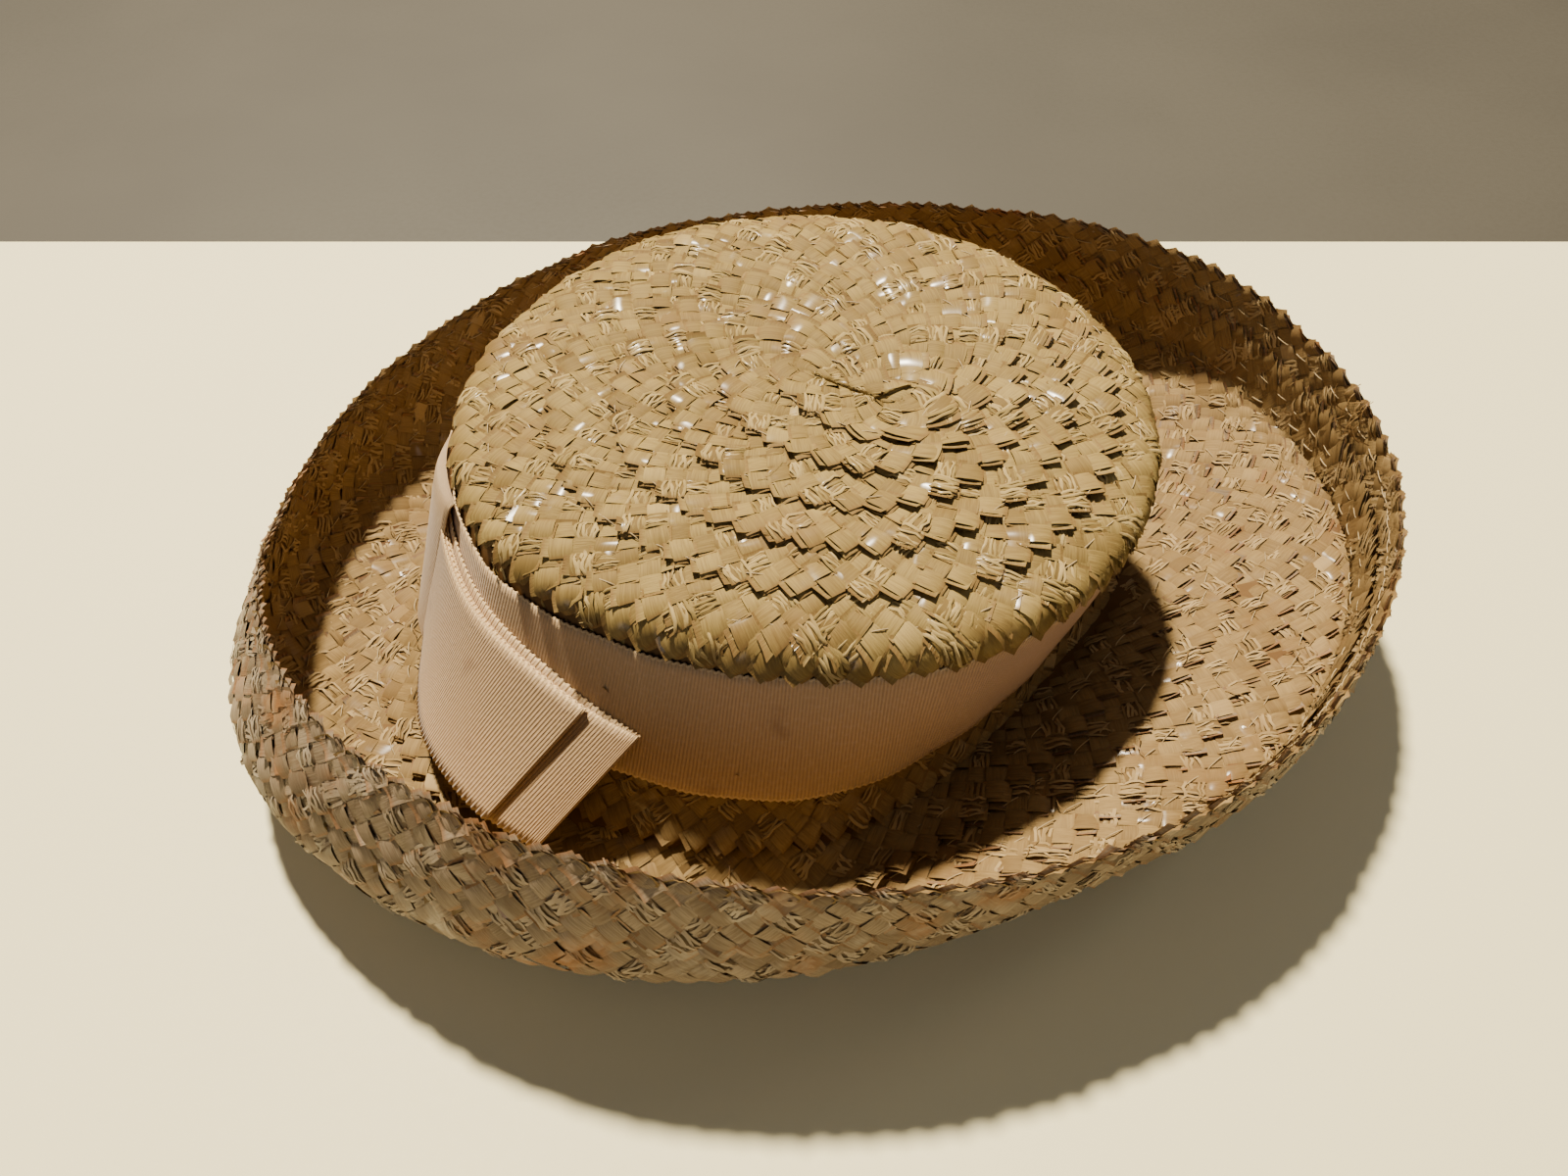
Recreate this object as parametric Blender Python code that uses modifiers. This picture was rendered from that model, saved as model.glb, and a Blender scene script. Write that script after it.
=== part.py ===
"""A straw hat of sewn plait, with a flat crown, a brim turned up all round and a ribbon with a flat side bow.

Metres, +Z up. The hat rests on the underside of its brim at z = 0, and the middle of its box is the origin.
"""

import math

import bpy
from mathutils import Matrix, Vector

# Straw: the plait, and the coils that it is sewn into
STRAW = 0.0022
COIL_STEP = 0.0012
TIP_COILS = 6
STATIONS = 64
COIL_EDGE = 0.012

# Crown
FOOT_RADIUS = 0.094
FOOT_HEIGHT = 0.0114
BROW_RADIUS = 0.087
BROW_RISE = 0.0536
BROW_TILT = 0.0056
TILT_DIRECTION = 65.0
TIP_RISE = 0.0095
SHOULDER = 5.0
LAST_TIP_COIL = 0.945
HOLLOW_ROWS = (0.93, 0.80, 0.55, 0.25)
LEAN_X = 0.004
LEAN_Y = 0.002
FOOT_FLARE = 0.0022
FOOT_COIL = 0.0092

# Brim
RIM_RADIUS = 0.142
RIM_HEIGHT = 0.054
BRIM_STEP = 0.1
RIM_BRAID_WIDTH = 0.011
RIM_BRAID_RISE = 0.0012
RIM_BRAID_SEAT = 0.0008

# Ribbon and bow
RIBBON = 0.001
RIBBON_WIDTH = 0.039
KNOT_WIDTH = 0.025
KNOT_DIRECTION = 191.0
PLY_GAP = 0.0006
LOOP_STEPS = 3

# Touching pieces stand this far apart
GAP = 0.0003

# The plan every 30 degrees, counted from +X towards +Y: direction, then the radius of the crown's foot, its
# brow, the brim's widest line and its rim, and the rim's height, as shares of the sizes above. The widest line
# is a share of RIM_RADIUS.
PLAN = (
    (0, 1.03, 1.04, 1.105, 1.125, 1.04, 1.0),
    (30, 1.06, 1.00, 1.055, 1.07, 1.10, 0.5),
    (60, 1.04, 0.96, 0.965, 0.935, 1.05, 0.0),
    (90, 0.98, 0.96, 0.92, 0.885, 0.94, 0.0),
    (120, 0.92, 0.99, 0.925, 0.90, 0.87, 0.0),
    (150, 0.94, 1.025, 0.965, 0.98, 0.68, 0.0),
    (180, 1.05, 1.055, 1.05, 1.03, 0.68, 0.0),
    (210, 1.10, 1.03, 1.13, 1.02, 1.04, 0.0),
    (240, 1.045, 0.94, 1.06, 0.985, 1.14, 0.0),
    (270, 1.00, 0.935, 0.965, 0.95, 1.01, 0.15),
    (300, 0.88, 1.01, 0.93, 0.975, 0.91, 1.0),
    (330, 0.87, 1.05, 1.02, 1.055, 0.94, 1.25),
)
COLUMNS = ("direction", "foot", "brow", "widest", "rim", "rim height", "even climb")

# The brim's coils, a row for the outer edge of each: how far out from the foot to the widest line, how far on
# from there to the rim, and the height as a share of the foot's height and of the rim's
BRIM_COILS = (
    (0.00, 0.0, 1.00, 0.00),
    (0.13, 0.0, 0.62, 0.00),
    (0.32, 0.0, 0.00, 0.00),
    (0.53, 0.0, 0.00, 0.00),
    (0.73, 0.0, 0.00, 0.10),
    (0.90, 0.0, 0.00, 0.25),
    (1.00, 0.0, 0.00, 0.48),
    (1.00, 0.5, 0.00, 0.74),
    (1.00, 1.0, 0.00, 1.00),
)
WIDEST_HEIGHT = 0.48

# The bow's loops, along their length: direction of the upper edge, its height as a share of the wall's, how
# far the ribbon leans out from the wall, and the direction in which it leans, all angles in degrees
LOOP = (
    (191.0, 0.84, 2.0, 196.0),
    (200.0, 0.79, 2.5, 200.0),
    (209.0, 0.73, 8.5, 203.0),
    (217.0, 0.685, 15.5, 205.0),
    (226.0, 0.63, 21.5, 207.0),
    (236.5, 0.55, 27.0, 210.0),
    (245.5, 0.50, 28.5, 211.0),
)

LOOP_ACROSS = (1.0, 0.8, 0.6, 0.4, 0.2, 0.0)

# The knot from its upper end down: height as a share of the wall's, and stand-off in ribbon thicknesses
KNOT = (
    (0.995, 2.0),
    (0.960, 6.6),
    (0.860, 8.6),
    (0.620, 9.2),
    (0.380, 9.8),
    (0.160, 10.4),
    (0.030, 10.8),
)
# The knot across its width: share of the width, and share of the stand-off
KNOT_ACROSS = ((0.0, 0.0), (0.14, 0.62), (0.34, 0.96), (0.64, 1.0), (1.0, 1.0))

STRAW_COLOUR = (0.52, 0.38, 0.19)
RIBBON_COLOUR = (0.62, 0.40, 0.25)


def between(a, b, c, d, t):
    """The value at a share t of the way from b to c, on a smooth curve that comes from a and goes on to d."""
    return 0.5 * (2 * b + (c - a) * t + (2 * a - 5 * b + 4 * c - d) * t**2 + (3 * b - a - 3 * c + d) * t**3)


def plan(column, angle):
    """A column of the plan at this angle in radians, on a smooth closed curve through its rows."""
    rows = len(PLAN)
    at_column = COLUMNS.index(column)
    place = math.degrees(angle) % 360.0 / (360.0 / rows)
    at = int(place)
    return between(*(PLAN[(at + i) % rows][at_column] for i in (-1, 0, 1, 2)), place - at)


def outward(angle):
    return Vector((math.cos(angle), math.sin(angle), 0.0))


def foot(angle):
    """The foot of the crown's wall, outside."""
    centre = Vector((-LEAN_X, -LEAN_Y, FOOT_HEIGHT))
    return centre + outward(angle) * FOOT_RADIUS * plan("foot", angle)


def brow(angle):
    """The top of the crown's wall, outside, where the tip begins."""
    tilt = BROW_TILT * math.cos(angle - math.radians(TILT_DIRECTION))
    height = Vector((0.0, 0.0, FOOT_HEIGHT + BROW_RISE + tilt))
    return height + outward(angle) * BROW_RADIUS * plan("brow", angle)


def tip(angle, reach, offset=0.0):
    """The crown's tip, at a share of the way from its middle to the brow, lifted by offset."""
    edge = brow(angle)
    middle = FOOT_HEIGHT + BROW_RISE
    place = Vector((edge.x * reach, edge.y * reach, middle + (edge.z - middle) * reach))
    place.z += TIP_RISE * math.sqrt(max(0.0, 1.0 - reach**SHOULDER)) + offset
    return place


def wall(angle, climb, offset=0.0):
    """The crown's wall, at a share of its height, moved outward by offset."""
    return foot(angle).lerp(brow(angle), climb) + outward(angle) * offset


def wall_length(angle):
    return (brow(angle) - foot(angle)).length


def wall_lean(angle):
    """How far the wall leans from upright: more than 0 where its foot stands out past its brow."""
    down = foot(angle) - brow(angle)
    return math.atan2(down.dot(outward(angle)), -down.z)


def band_climbs(angle):
    """Where the band's upper edge, middle and lower edge lie on the wall, as shares of its height."""
    low = 1.0 - RIBBON_WIDTH / wall_length(angle)
    return 1.0, (1.0 + low) / 2.0, low


def brim(angle, row, offset=0.0):
    """The underside of the brim at the outer edge of a coil, moved towards its upper side by offset."""
    reach, curl, foot_share, rim_share = BRIM_COILS[row]
    inner = foot(angle).xy.length
    belly = RIM_RADIUS * plan("widest", angle)
    rim = RIM_RADIUS * plan("rim", angle)
    radius = inner + (belly - inner) * reach + (rim - belly) * curl
    direction = foot(angle).xy.normalized()
    under_foot = FOOT_HEIGHT - GAP - STRAW
    top = RIM_HEIGHT * plan("rim height", angle)
    height = under_foot * foot_share + top * rim_share
    even = under_foot * (1.0 - reach) + top * WIDEST_HEIGHT * reach
    height += max(0.0, even - height) * max(0.0, plan("even climb", angle))
    slope = brim_slope(row)
    place = Vector((direction.x * radius, direction.y * radius, height))
    lift = Vector((-direction.x * math.sin(slope), -direction.y * math.sin(slope), math.cos(slope)))
    return place + lift * offset


def brim_slope(row):
    """How steeply the brim climbs at this row, averaged round the hat: 0 is flat and a quarter turn upright."""
    slopes = []
    for first, last in ((row - 1, row), (row, row + 1)):
        if 0 <= first and last < len(BRIM_COILS):
            a, b = BRIM_COILS[first], BRIM_COILS[last]
            span = RIM_RADIUS - FOOT_RADIUS
            run = span * (b[0] - a[0])
            rise = RIM_HEIGHT * (b[3] - a[3])
            slopes.append(math.atan2(rise, run) if rise > 0 else 0.0)
    return sum(slopes) / len(slopes)


def angles():
    return [math.tau * i / STATIONS for i in range(STATIONS)]


def lofted(name, sections, closed_round=True, closed_across=True, caps=(None, None)):
    """A mesh through the sections, a list of points each. caps are the points that close the first and last row
    of points of a ring of sections, such as the middle of a crown's tip outside and inside."""
    points = [p for section in sections for p in section]
    across, along = len(sections[0]), len(sections)
    faces = []
    for i in range(along if closed_round else along - 1):
        here, there = i * across, (i + 1) % along * across
        for j in range(across if closed_across else across - 1):
            k = (j + 1) % across
            faces.append((here + j, here + k, there + k, there + j))
        if caps[0] is not None:
            faces.append((here, there, along * across))
            faces.append((there + across - 1, here + across - 1, along * across + 1))
    points.extend(cap for cap in caps if cap is not None)
    mesh = bpy.data.meshes.new(name)
    mesh.from_pydata([tuple(p) for p in points], [], faces)
    mesh.update()
    return mesh


def material(name, colour, roughness):
    made = bpy.data.materials.new(name)
    made.use_nodes = True
    shader = made.node_tree.nodes["Principled BSDF"]
    shader.inputs["Base Color"].default_value = (*colour, 1.0)
    shader.inputs["Roughness"].default_value = roughness
    shader.inputs["Metallic"].default_value = 0.0
    return made


def add_piece(mesh, shift, colour, roughness, side=None):
    """The object of one sub-part. An open ribbon gets its thickness from a Solidify modifier: side is 1 where
    the mesh is its inner face and 0 where it is its middle."""
    mesh.transform(shift)
    mesh.materials.append(material(mesh.name, colour, roughness))
    mesh.shade_smooth()
    mesh.set_sharp_from_angle(angle=math.radians(35.0))
    piece = bpy.data.objects.new(mesh.name, mesh)
    hat.objects.link(piece)
    if side is not None:
        solidify = piece.modifiers.new("Ribbon", "SOLIDIFY")
        solidify.thickness = RIBBON
        solidify.offset = side


def crown_mesh():
    """Tip in coils, shoulder, wall and the coil that flares over the brim, with a plain hollow inside."""
    sections = []
    for angle in angles():
        low_coil = FOOT_COIL / wall_length(angle)
        section = []
        for coil in range(1, TIP_COILS + 1):
            reach = LAST_TIP_COIL * coil / TIP_COILS
            section.append(tip(angle, reach, COIL_STEP))
            section.append(tip(angle, reach + COIL_EDGE))
        section.extend(wall(angle, climb) for climb in band_climbs(angle))
        section.append(wall(angle, low_coil))
        section.append(wall(angle, low_coil - COIL_EDGE, COIL_STEP))
        section.append(wall(angle, 0.0, FOOT_FLARE))
        section.append(wall(angle, 0.0, -STRAW))
        section.append(wall(angle, 1.0, -STRAW))
        for reach in HOLLOW_ROWS:
            section.append(tip(angle, reach, -STRAW))
        sections.append(section)
    return lofted("straw_crown", sections, closed_across=False, caps=(tip(0, 0), tip(0, 0, -STRAW)))


def brim_mesh():
    """The coils, stepped on the upper side and smooth below, with a flat ring that the hat rests on."""
    sections = []
    last = len(BRIM_COILS) - 1
    for angle in angles():
        inner = foot(angle) - outward(angle) * STRAW
        seat = FOOT_HEIGHT - GAP
        section = [Vector((inner.x, inner.y, seat - STRAW)), Vector((inner.x, inner.y, seat))]
        lip = foot(angle) + outward(angle) * (FOOT_FLARE + GAP)
        section.append(Vector((lip.x, lip.y, seat)))
        for row in range(1, last + 1):
            step = brim(angle, row, STRAW)
            section.append(brim(angle, row, STRAW + COIL_STEP))
            if row < last:
                section.append(step.lerp(brim(angle, row + 1, STRAW), BRIM_STEP))
        for row in range(last, 0, -1):
            section.append(brim(angle, row))
        lower = Vector((lip.x, lip.y, seat - STRAW))
        section.append(lower)
        sections.append(section)
    return lofted("straw_brim", sections)


def rim_braid_mesh():
    """A second plait round the outside of the rim."""
    sections = []
    last = len(BRIM_COILS) - 1
    for angle in angles():
        top, below = brim(angle, last), brim(angle, last - 1)
        down = (below - top).normalized()
        out = outward(angle)
        edge = top + out * RIM_BRAID_SEAT - down * RIM_BRAID_RISE
        hem = edge + down * RIM_BRAID_WIDTH
        sections.append([edge + out * STRAW, hem + out * STRAW, hem, edge])
    return lofted("rim_braid", sections)


def band_mesh():
    """The ribbon round the crown, one face of it, from the brow down by the ribbon's width."""
    sections = []
    for angle in angles():
        sections.append([wall(angle, climb, GAP) for climb in band_climbs(angle)])
    return lofted("ribbon_band", sections, closed_across=False)


def loop_section(place):
    """The ribbon across its width, from its lower edge to its upper one, which lies against the band. place
    counts along the rows of LOOP."""
    last = len(LOOP) - 1
    at = min(int(place), last - 1)
    rows = [LOOP[min(max(at + i, 0), last)] for i in (-1, 0, 1, 2)]
    angle, climb, lean, spread = (between(*column, place - at) for column in zip(*rows))
    angle, spread = math.radians(angle), math.radians(spread)
    lean = wall_lean(angle) + math.radians(lean)
    upper = wall(angle, climb, GAP + RIBBON + GAP)
    down = outward(spread) * math.sin(lean) - Vector((0.0, 0.0, math.cos(lean)))
    return [upper + down * RIBBON_WIDTH * share for share in LOOP_ACROSS]


def lifted(sections, distance):
    """The same strip, moved off its face by distance, away from the crown."""
    moved = []
    last = len(sections) - 1
    for i, section in enumerate(sections):
        before, after = sections[max(0, i - 1)], sections[min(last, i + 1)]
        up = section[-1] - section[0]
        faces = [(q - p).cross(up).normalized() for p, q in zip(before, after)]
        moved.append([point + face * distance for point, face in zip(section, faces)])
    return moved


def loop_mesh(name, rows, stand_off):
    """A ribbon out along the band, round a fold and back on itself: the inner ply, the fold, the outer ply.
    rows says how many rows of LOOP it runs along before its fold."""
    plies = RIBBON + PLY_GAP
    strip = [loop_section(i / LOOP_STEPS) for i in range((rows - 1) * LOOP_STEPS + 1)]
    near = lifted(strip, stand_off + RIBBON / 2.0)
    far = lifted(strip, stand_off + RIBBON / 2.0 + plies)
    along = (near[-1][0] - near[-2][0]).normalized()
    bend = []
    for turn in (0.25, 0.5, 0.75):
        phase = math.pi * turn
        section = []
        for p, q in zip(near[-1], far[-1]):
            middle = (p + q) / 2.0
            section.append(middle + (p - middle) * math.cos(phase) + along * (plies / 2.0) * math.sin(phase))
        bend.append(section)
    return lofted(name, near + bend + far[::-1], closed_round=False, closed_across=False)


def knot_mesh():
    """The cross piece over the root of the loops, tucked in to the band at its hidden side."""
    width = math.degrees(KNOT_WIDTH / BROW_RADIUS)
    first = KNOT_DIRECTION - width / 2.0
    sections = []
    for share, arch in KNOT_ACROSS:
        angle = math.radians(first + width * share)
        band_foot = band_climbs(angle)[-1]
        section = []
        for climb, stand_off in KNOT:
            tucked = GAP + (RIBBON + GAP if climb > band_foot else COIL_STEP + FOOT_FLARE)
            section.append(wall(angle, climb, tucked + max(0.0, stand_off * RIBBON - tucked) * arch))
        sections.append(section)
    return lofted("bow_knot", sections, closed_round=False, closed_across=False)


def middle_of_box(meshes):
    """The shift that puts the middle of the box round these meshes over the origin."""
    points = [v.co for mesh in meshes for v in mesh.vertices]
    middle = [(min(p[axis] for p in points) + max(p[axis] for p in points)) / 2.0 for axis in (0, 1)]
    return Vector((-middle[0], -middle[1], 0.0))


for old in list(bpy.data.objects):
    bpy.data.objects.remove(old)
hat = bpy.data.collections.new("straw_hat")
bpy.context.scene.collection.children.link(hat)

straw_brim, rim_braid = brim_mesh(), rim_braid_mesh()
centred = Matrix.Translation(middle_of_box((straw_brim, rim_braid)))
add_piece(straw_brim, centred, STRAW_COLOUR, 0.55)
add_piece(rim_braid, centred, STRAW_COLOUR, 0.55)
add_piece(crown_mesh(), centred, STRAW_COLOUR, 0.5)
add_piece(band_mesh(), centred, RIBBON_COLOUR, 0.7, side=1.0)
add_piece(loop_mesh("bow_lower_loop", len(LOOP), 0.0), centred, RIBBON_COLOUR, 0.7, side=0.0)
front = 2.0 * RIBBON + 2.0 * PLY_GAP
add_piece(loop_mesh("bow_upper_loop", len(LOOP) - 1, front), centred, RIBBON_COLOUR, 0.7, side=0.0)
add_piece(knot_mesh(), centred, RIBBON_COLOUR, 0.7, side=1.0)
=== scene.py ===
"""The looks of a straw hat: plait sewn in a spiral, its thread, and a faded grosgrain band and side bow.

Metres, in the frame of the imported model. The hat's outline repeats the plan and the coils of its solids.
"""

import math

import bmesh
import bpy
import numpy as np
from mathutils import Matrix, Vector


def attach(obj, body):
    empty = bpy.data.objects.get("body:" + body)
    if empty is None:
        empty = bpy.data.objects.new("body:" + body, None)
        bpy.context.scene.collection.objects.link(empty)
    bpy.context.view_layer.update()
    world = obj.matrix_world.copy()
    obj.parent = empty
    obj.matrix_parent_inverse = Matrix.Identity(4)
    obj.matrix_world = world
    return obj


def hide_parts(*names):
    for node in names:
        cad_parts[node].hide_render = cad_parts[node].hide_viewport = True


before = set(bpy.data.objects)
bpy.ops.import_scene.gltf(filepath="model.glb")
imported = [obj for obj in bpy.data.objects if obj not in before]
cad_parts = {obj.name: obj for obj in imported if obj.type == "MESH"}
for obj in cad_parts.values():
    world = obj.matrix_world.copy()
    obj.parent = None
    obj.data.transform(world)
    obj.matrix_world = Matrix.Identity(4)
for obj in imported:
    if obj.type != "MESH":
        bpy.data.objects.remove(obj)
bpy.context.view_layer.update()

MM = 0.001

# Where the middle of the crown's brow stands in the frame
BROW_CENTRE = np.array((-0.00590, 0.00371, 0.0))

# Crown: its wall runs from the foot up to the brow, where the tip begins. The tip's spiral starts off centre,
# as a fold.
FOOT_RADIUS = 0.094
FOOT_HEIGHT = 0.0114
BROW_RADIUS = 0.087
BROW_RISE = 0.0536
BROW_TILT = 0.0056
TILT_DIRECTION = math.radians(65.0)
TIP_RISE = 0.0095
SHOULDER = 5.0
LEAN = np.array((-0.004, -0.002, 0.0))
FOOT_FLARE = 0.0022
SPIRAL_CENTRE = np.array((0.0115, -0.002, 0.0))
SPIRAL_FOLD = 0.0095
FOLD_DIRECTION = math.radians(-30.0)

# Brim: sizes at its rim, and the height of its widest line as a share of the rim's
RIM_RADIUS = 0.142
RIM_HEIGHT = 0.054
BRIM_MIDDLE = 0.0013
UNDER_FOOT = FOOT_HEIGHT - 0.0025
WIDEST_HEIGHT = 0.48

# The plan every 30 degrees from +X towards +Y: the crown's foot, its brow, the brim's widest line, its rim
# and the rim's height, as shares of the sizes above, and how far the brim climbs evenly from the foot on
PLAN = np.array(
    (
        (1.03, 1.04, 1.105, 1.125, 1.04, 1.0),
        (1.06, 1.00, 1.055, 1.07, 1.10, 0.5),
        (1.04, 0.96, 0.965, 0.935, 1.05, 0.0),
        (0.98, 0.96, 0.92, 0.885, 0.94, 0.0),
        (0.92, 0.99, 0.925, 0.90, 0.87, 0.0),
        (0.94, 1.025, 0.965, 0.98, 0.68, 0.0),
        (1.05, 1.055, 1.05, 1.03, 0.68, 0.0),
        (1.10, 1.03, 1.13, 1.02, 1.04, 0.0),
        (1.045, 0.94, 1.06, 0.985, 1.14, 0.0),
        (1.00, 0.935, 0.965, 0.95, 1.01, 0.15),
        (0.88, 1.01, 0.93, 0.975, 0.91, 1.0),
        (0.87, 1.05, 1.02, 1.055, 0.94, 1.25),
    )
)
FOOT, BROW, BELLY, RIM, RIM_LIFT, EVEN_CLIMB = range(6)

# The brim's coils, a row for the outer edge of each: how far out from the foot to the widest line, how far
# on to the rim, and the height as a share of the foot's and of the rim's
BRIM_COILS = np.array(
    (
        (0.00, 0.0, 1.00, 0.00),
        (0.13, 0.0, 0.62, 0.00),
        (0.32, 0.0, 0.00, 0.00),
        (0.53, 0.0, 0.00, 0.00),
        (0.73, 0.0, 0.00, 0.10),
        (0.90, 0.0, 0.00, 0.25),
        (1.00, 0.0, 0.00, 0.48),
        (1.00, 0.5, 0.00, 0.74),
        (1.00, 1.0, 0.00, 1.00),
    )
)

# Plait: notches along its edge, rows of crossings across it, and the strands of one repeat, the first of them
# a skein of fibres. A coil of it covers the edge of the next one.
NOTCH = 0.0070
PLAIT_ROWS = 5
STRANDS = 4
FIBRES = 6
STRAND = NOTCH / math.sqrt(2.0)
PLY = 0.00034
COIL_PITCH = 0.0136
NARROWEST_PITCH = 0.6 * COIL_PITCH
NEAR_CENTRE = 0.2
FOLDED_SHORT = 0.4
EDGE_IN = 0.0005

# How unevenly the plait is sewn, and the waves of its unevenness along X, Y and Z in radians per metre
SAG = 0.0003
WAVES = (210.0, 260.0, 190.0)

# What shows of a strand between two crossings, its mean and its spread, in strand widths and in radians
LONG, LONG_SPREAD = 1.36, 0.04
WIDE, WIDE_SPREAD = 1.04, 0.03
LONGER_AT_EDGE = 1.06
WAIST = 0.05
LEAN_SPREAD = 0.05
TWIST, TILT = 0.034, 0.042

# How high it stands, how far it dips at its ends and how it is arched across, in plies
STANDS, DIPS, ARCHED = 1.3, 2.1, 0.25
FIBRE_STANDS, FIBRE_ROUND, FIBRE_SPREAD = 0.9, 0.6, 0.6

# How far the notches stand off the coil below, and the folded layer that shows under them
EDGE_LIFT = 0.00068
BRIM_EDGE_LIFT = 0.00028
OUTSIDE_EDGE_LIFT = 0.0008
WALL_EDGE_LIFT = -0.0006
RIM_EDGE_LIFT = 0.0010
EDGE_CURL = 0.0004
HEM_DROP = 0.0005
HEM_ARCH = 0.0004
HEM_REACH = 0.0007

# The tip's spiral, and the front of the crown, where the brim's first coil has a free edge
TIP_TURNS = 6.3
TIP_START = -0.86
TIP_EDGE = TIP_TURNS - 1.06
BRIM_TURNS = 8.0
RIM_COIL = BRIM_TURNS + 0.05
OUTER_ROW = 0.9
FRONT = math.radians(-103.0)
FRONT_SPREAD = math.radians(38.0)
FREE_EDGE = 0.0042

# Sewing thread and loose fibres
STITCH = 0.0085
THREAD = 0.00016
STITCH_ROW = 0.0086
STRAY_WIDTH = 0.00016

# Ribbon and bow: the band sits lowest, by BAND_DROP of the wall, in one direction
RIBBON = 0.00042
RIBBON_WIDTH = 0.039
RIBBON_ROWS = 14
RIB = 0.0009
WEFT = 0.0004
PICOT = 0.0018
PICOT_DEPTH = 0.0006
PICOT_STEPS = 4
KNOT_WIDTH = 0.025
KNOT_DIRECTION = 191.0
KNOT_TUCKED = 0.0012
BAND_DROP = 0.08
BAND_DROP_DIRECTION = math.radians(215.0)
BAND_OUT = 0.0006
BOW_OUT = 0.0016
LOOP_FOLD = 0.02
PLY_GAP_HALF = 0.00035

# The knot from top to bottom: the share of the wall's height, and how many millimetres it stands off
KNOT = np.array(
    ((0.995, 2.0), (0.960, 4.2), (0.860, 4.9), (0.620, 5.5), (0.380, 6.1), (0.160, 6.7), (0.030, 7.0))
)

# The loops' upper edge from the knot out: its direction, the share of the wall's height, how many degrees the
# ribbon leans out from the wall, and the direction that it leans in
LOOP = np.array(
    (
        (191.0, 0.84, 2.0, 196.0),
        (200.0, 0.79, 2.5, 200.0),
        (209.0, 0.73, 8.5, 203.0),
        (217.0, 0.685, 15.5, 205.0),
        (226.0, 0.63, 21.5, 207.0),
        (236.5, 0.55, 27.0, 210.0),
        (245.5, 0.50, 28.5, 211.0),
    )
)


def between(a, b, c, d, t):
    """The value at a share t of the way from b to c, on a smooth curve that comes from a and goes on to d."""
    return 0.5 * (2 * b + (c - a) * t + (2 * a - 5 * b + 4 * c - d) * t**2 + (3 * b - a - 3 * c + d) * t**3)


def plan(column, angle):
    """A column of the plan at these angles, on a smooth closed curve through its rows."""
    rows = len(PLAN)
    place = np.degrees(angle) % 360.0 / (360.0 / rows)
    at = np.floor(place).astype(int)
    return between(*(PLAN[(at + i) % rows, column] for i in (-1, 0, 1, 2)), place - at)


def along_rows(table, place):
    """The columns of a table at these places, counted along its rows and carried on past its ends."""
    last = len(table) - 1
    at = np.clip(np.floor(place).astype(int), 0, last - 1)
    inside = np.clip(place, 0, last) - at
    rows = [table[np.clip(at + i, 0, last)] for i in (-1, 0, 1, 2)]
    past = (place - np.clip(place, 0, last))[..., None]
    end = np.where(past > 0, table[last] - table[last - 1], table[1] - table[0])
    return between(*rows, inside[..., None]) + past * end


def outward(angle):
    return np.stack((np.cos(angle), np.sin(angle), np.zeros_like(angle)), axis=-1)


def upright(height):
    return np.stack((np.zeros_like(height), np.zeros_like(height), height), axis=-1)


def unit(vectors):
    return vectors / np.maximum(np.linalg.norm(vectors, axis=-1, keepdims=True), 1e-12)


def foot(angle):
    """The foot of the crown's wall, outside."""
    reach = outward(angle) * FOOT_RADIUS * plan(FOOT, angle)[..., None]
    return BROW_CENTRE + LEAN + reach + (0, 0, FOOT_HEIGHT)


def brow(angle):
    """The top of the crown's wall, outside, where the tip begins."""
    tilt = BROW_TILT * np.cos(angle - TILT_DIRECTION)
    reach = outward(angle) * BROW_RADIUS * plan(BROW, angle)[..., None]
    return BROW_CENTRE + reach + upright(FOOT_HEIGHT + BROW_RISE + tilt)


def tip(angle, coil):
    """The crown's tip, coil by coil from the middle of its spiral. Past the last it turns down the wall."""
    reach = coil / TIP_TURNS
    inside = np.minimum(0.5 * (reach + np.sqrt(reach**2 + 0.0004)), 1.0)
    edge = brow(angle)
    middle = BROW_CENTRE + SPIRAL_CENTRE + (0, 0, FOOT_HEIGHT + BROW_RISE)
    fold = np.array((math.cos(FOLD_DIRECTION), math.sin(FOLD_DIRECTION), 0.0))
    along_fold = SPIRAL_FOLD * np.cos(angle - FOLD_DIRECTION) * (1.0 - inside) ** 4
    place = middle + (edge - middle) * inside[..., None] + along_fold[..., None] * fold
    place += upright(TIP_RISE * np.sqrt(np.maximum(0.0, 1.0 - inside**SHOULDER)))
    over = np.maximum(reach - 1.0, 0.0)[..., None] * TIP_TURNS * COIL_PITCH
    return place + over * unit(foot(angle) - edge)


def wall(angle, climb, offset=0.0):
    """The crown's wall, at a share of its height, moved outward by offset."""
    low, high = foot(angle), brow(angle)
    offset = np.broadcast_to(offset, np.shape(angle))
    return low + (high - low) * np.asarray(climb)[..., None] + outward(angle) * offset[..., None]


def wall_length(angle):
    """How long the crown's wall is from foot to brow."""
    return np.linalg.norm(brow(angle) - foot(angle), axis=-1)


def wall_coils(angle, coil):
    """The wall, coil by coil down from the brow."""
    return wall(angle, 1.0 - coil * COIL_PITCH / wall_length(angle), -0.0012)


def foot_coil(angle, coil):
    """The wall's last coil, which spreads over the brim at its lower edge."""
    down = (coil - 1.0) * COIL_PITCH
    flare = FOOT_FLARE * np.clip(1.0 + down / (0.6 * COIL_PITCH), 0.0, 1.6) ** 2
    behind_band = 0.0010 * np.clip(-down / (0.5 * COIL_PITCH), 0.0, 1.0)
    return wall(angle, -down / wall_length(angle), flare + 0.0004 - behind_band)


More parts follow.
